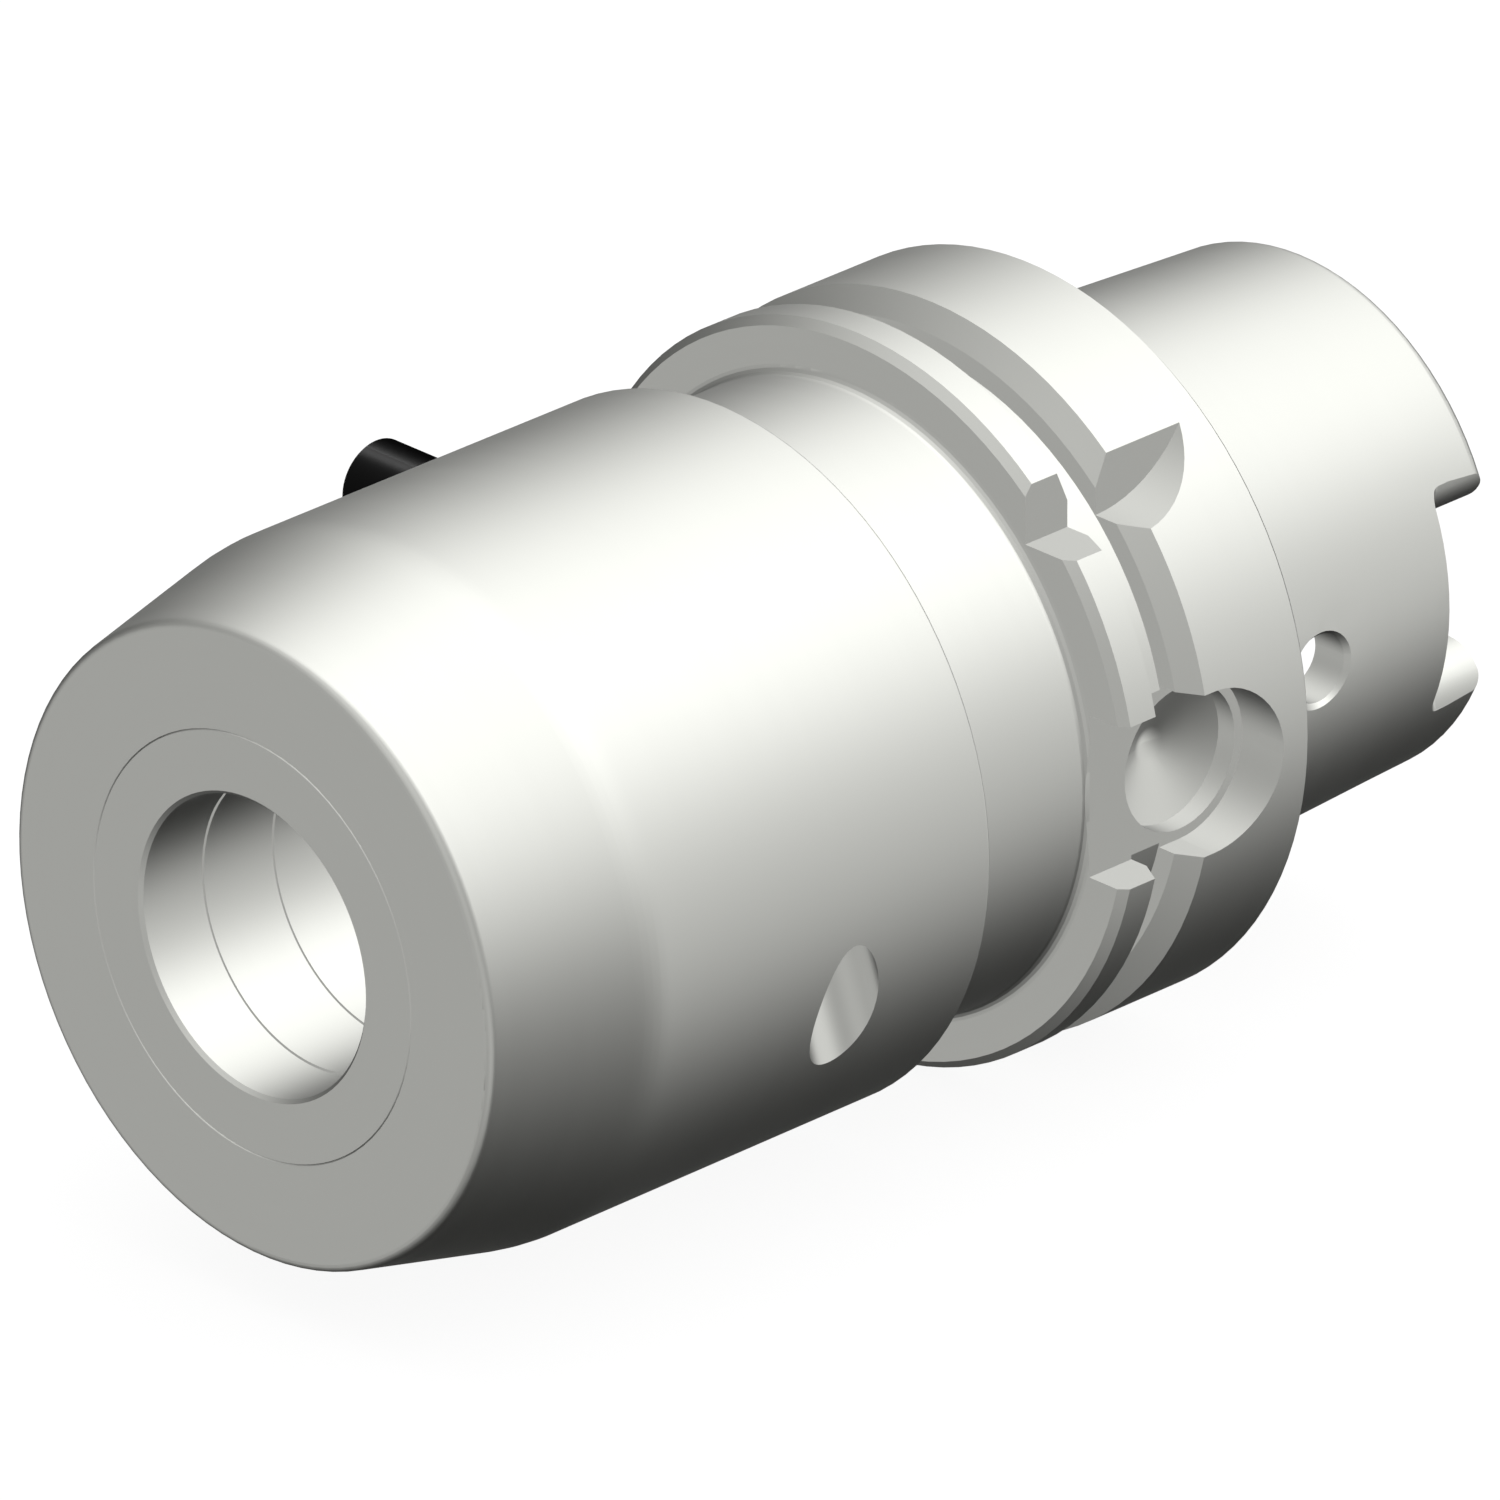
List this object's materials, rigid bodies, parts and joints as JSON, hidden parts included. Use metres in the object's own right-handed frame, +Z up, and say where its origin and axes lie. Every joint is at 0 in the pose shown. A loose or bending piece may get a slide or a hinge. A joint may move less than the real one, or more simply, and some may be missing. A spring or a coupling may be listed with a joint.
{
  "type": "hydraulic chuck",
  "caption": "Hydraulic expansion chuck: hollow taper shank, grooved flange, round body with a sleeved bore that grips a tool under oil pressure.",
  "frame": {"origin": "centre of the flange's contact face, on the chuck's axis", "axes": "+X along the axis towards the tool, -X into the taper shank, +Y towards the narrower gripper slot, +Z up with the chuck held level as in a horizontal spindle"},
  "size_m": [0.1494, 0.08, 0.08],
  "materials": {
    "satin_steel": "fine ground, satin, faintly warm grey",
    "sleeve_steel": "fine ground",
    "black_screw": "black oxide, slight oil sheen",
    "seal_rubber": "smooth moulded rubber",
    "backup_plastic": "white fluoroplastic"
  },
  "bodies": {
    "chuck": {"chuck_body": "satin_steel", "expansion_sleeve": "sleeve_steel", "bleed_ball": "sleeve_steel", "bleed_screw": "black_screw"},
    "piston": {"pressure_piston": "sleeve_steel", "piston_seal": "seal_rubber", "piston_backup_ring": "backup_plastic"},
    "screw": {"actuating_screw": "black_screw"},
    "stop_ring": {"stop_screw_seal": "seal_rubber"},
    "stop": {"stop_screw": "black_screw"}
  },
  "joints": [
    {"name": "piston_slide", "type": "slide", "parent": "chuck", "child": "piston", "axis": [0, 1, 0], "range_m": [0, 0.0051]},
    {"name": "screw_turn", "type": "hinge", "parent": "piston", "child": "screw", "pos_m": [0.063, -0.02, 0.0256], "axis": [0, 1, 0], "range_deg": [0, 1800]},
    {"name": "stop_slide", "type": "slide", "parent": "chuck", "child": "stop_ring", "axis": [1, 0, 0], "range_m": [0, 0.0101]},
    {"name": "stop_turn", "type": "hinge", "parent": "stop_ring", "child": "stop", "pos_m": [0.03, 0, 0], "axis": [1, 0, 0], "range_deg": [0, 3600]}
  ],
  "couplings": [
    {"joint": "piston_slide", "follows": "screw_turn", "m_per_rad": 0.00015915},
    {"joint": "stop_slide", "follows": "stop_turn", "m_per_rad": 0.00015915}
  ]
}
